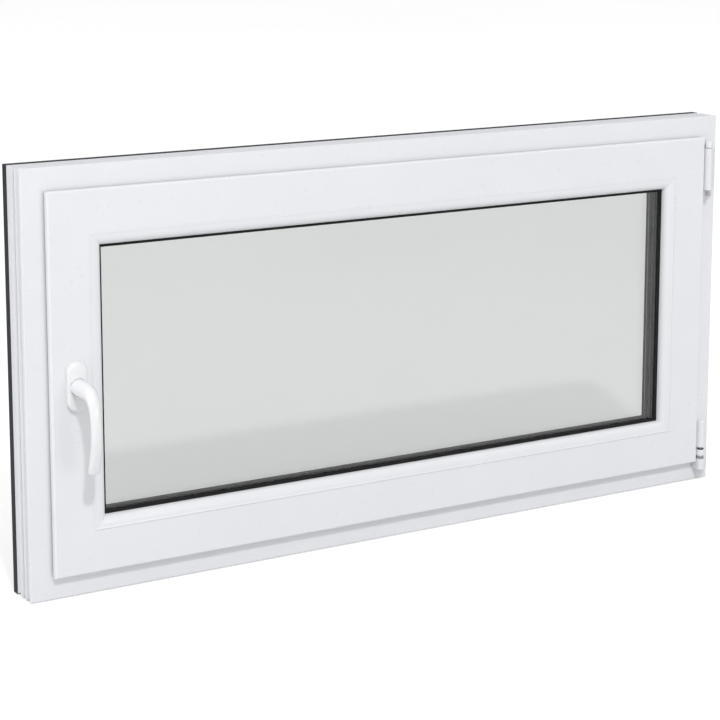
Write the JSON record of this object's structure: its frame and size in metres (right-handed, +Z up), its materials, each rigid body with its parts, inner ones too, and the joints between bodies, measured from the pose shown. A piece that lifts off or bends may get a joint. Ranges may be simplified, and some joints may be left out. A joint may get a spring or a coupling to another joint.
{
  "type": "casement window",
  "caption": "Tilt-and-turn casement window: white mitred frame and sash, sealed glass unit, lever handle, covered hinges, dark outside film.",
  "frame": {"origin": "middle of the frame's bottom seat, at half the frame's depth", "axes": "+X along the width towards the hinge side as seen from the room, +Y from the room to the outside, +Z up"},
  "size_m": [1.2, 0.1454, 0.6],
  "materials": {
    "upvc_white": "satin white uPVC profile",
    "film_anthracite": "embossed anthracite decor film",
    "cap_anthracite": "fine textured anthracite plastic",
    "hinge_cover_white": "satin white moulded cap",
    "handle_white": "white powder coat on cast aluminium",
    "nylon_white": "moulded nylon",
    "black_rubber": "extruded seal",
    "warm_edge_spacer": "black warm edge spacer",
    "packer_blue": "moulded packer",
    "clear_glass": "float glass",
    "galvanised_steel": "galvanised",
    "zinc_steel": "bright zinc plated"
  },
  "bodies": {
    "frame": {"frame_sill": "upvc_white", "frame_head": "upvc_white", "frame_jamb_handle_side": "upvc_white", "frame_jamb_hinge_side": "upvc_white", "frame_outside_film": "film_anthracite", "frame_steel_long": "galvanised_steel", "frame_steel_short": "galvanised_steel", "frame_stop_gasket": "black_rubber", "strike_plates": "zinc_steel", "strike_screws": "zinc_steel", "corner_bearing": "zinc_steel", "corner_bearing_cover": "hinge_cover_white", "stay_bearing": "zinc_steel", "stay_bearing_pin": "zinc_steel", "stay_bearing_cover": "hinge_cover_white", "bearing_screws": "zinc_steel", "hinge_washer": "black_rubber", "drainage_caps": "cap_anthracite"},
    "turn_link": {"corner_link": "zinc_steel"},
    "sash": {"sash_bottom_rail": "upvc_white", "sash_top_rail": "upvc_white", "sash_stile_handle_side": "upvc_white", "sash_stile_hinge_side": "upvc_white", "sash_outside_film": "film_anthracite", "sash_steel_rails": "galvanised_steel", "sash_steel_stiles": "galvanised_steel", "sash_overlap_gasket": "black_rubber", "bead_bottom": "upvc_white", "bead_top": "upvc_white", "bead_handle_side": "upvc_white", "bead_hinge_side": "upvc_white", "inner_pane": "clear_glass", "outer_pane": "clear_glass", "spacer_bar": "warm_edge_spacer", "glass_edge_seal": "black_rubber", "glazing_gasket_inner": "black_rubber", "glazing_gasket_outer": "black_rubber", "glazing_packers": "packer_blue", "corner_band": "zinc_steel", "corner_band_cover": "hinge_cover_white", "faceplate_handle_side": "zinc_steel", "faceplate_top": "zinc_steel", "faceplate_bottom": "zinc_steel", "corner_drives": "zinc_steel", "gearbox_housing": "zinc_steel", "handle_base": "nylon_white", "handle_cover": "handle_white", "handle_screws": "zinc_steel"},
    "handle": {"handle_lever": "handle_white", "handle_spindle": "zinc_steel", "gearbox_pinion": "zinc_steel"},
    "rod_side": {"drive_rod_side": "zinc_steel", "locking_cams_side": "zinc_steel"},
    "rod_top": {"drive_rod_top": "zinc_steel", "locking_cam_top": "zinc_steel"},
    "rod_bottom": {"drive_rod_bottom": "zinc_steel", "locking_cams_bottom": "zinc_steel"},
    "stay": {"stay_arm": "zinc_steel", "stay_arm_cap": "hinge_cover_white", "stay_stud": "zinc_steel"}
  },
  "joints": [
    {"name": "turn", "type": "hinge", "parent": "frame", "child": "turn_link", "pos_m": [0.5745, -0.044, 0.041], "axis": [0, 0, 1], "range_deg": [0, 90]},
    {"name": "tilt", "type": "hinge", "parent": "turn_link", "child": "sash", "pos_m": [0.5625, -0.03725, 0.041], "axis": [1, 0, 0], "range_deg": [0, 10]},
    {"name": "stay_swing", "type": "hinge", "parent": "turn_link", "child": "stay", "pos_m": [0.5745, -0.044, 0.5542], "axis": [0, 0, 1], "range_deg": [0, 17.05]},
    {"name": "handle_turn", "type": "hinge", "parent": "sash", "child": "handle", "pos_m": [-0.532, -0.043, 0.3], "axis": [0, -1, 0], "range_deg": [0, 180]},
    {"name": "rod_side_slide", "type": "slide", "parent": "sash", "child": "rod_side", "axis": [0, 0, -1], "range_m": [0, 0.0361]},
    {"name": "rod_top_slide", "type": "slide", "parent": "sash", "child": "rod_top", "axis": [-1, 0, 0], "range_m": [0, 0.0361]},
    {"name": "rod_bottom_slide", "type": "slide", "parent": "sash", "child": "rod_bottom", "axis": [1, 0, 0], "range_m": [0, 0.0361]}
  ],
  "couplings": [
    {"joint": "stay_swing", "follows": "tilt", "ratio": 1.7},
    {"joint": "rod_side_slide", "follows": "handle_turn", "m_per_rad": 0.011459},
    {"joint": "rod_top_slide", "follows": "handle_turn", "m_per_rad": 0.011459},
    {"joint": "rod_bottom_slide", "follows": "handle_turn", "m_per_rad": 0.011459}
  ]
}
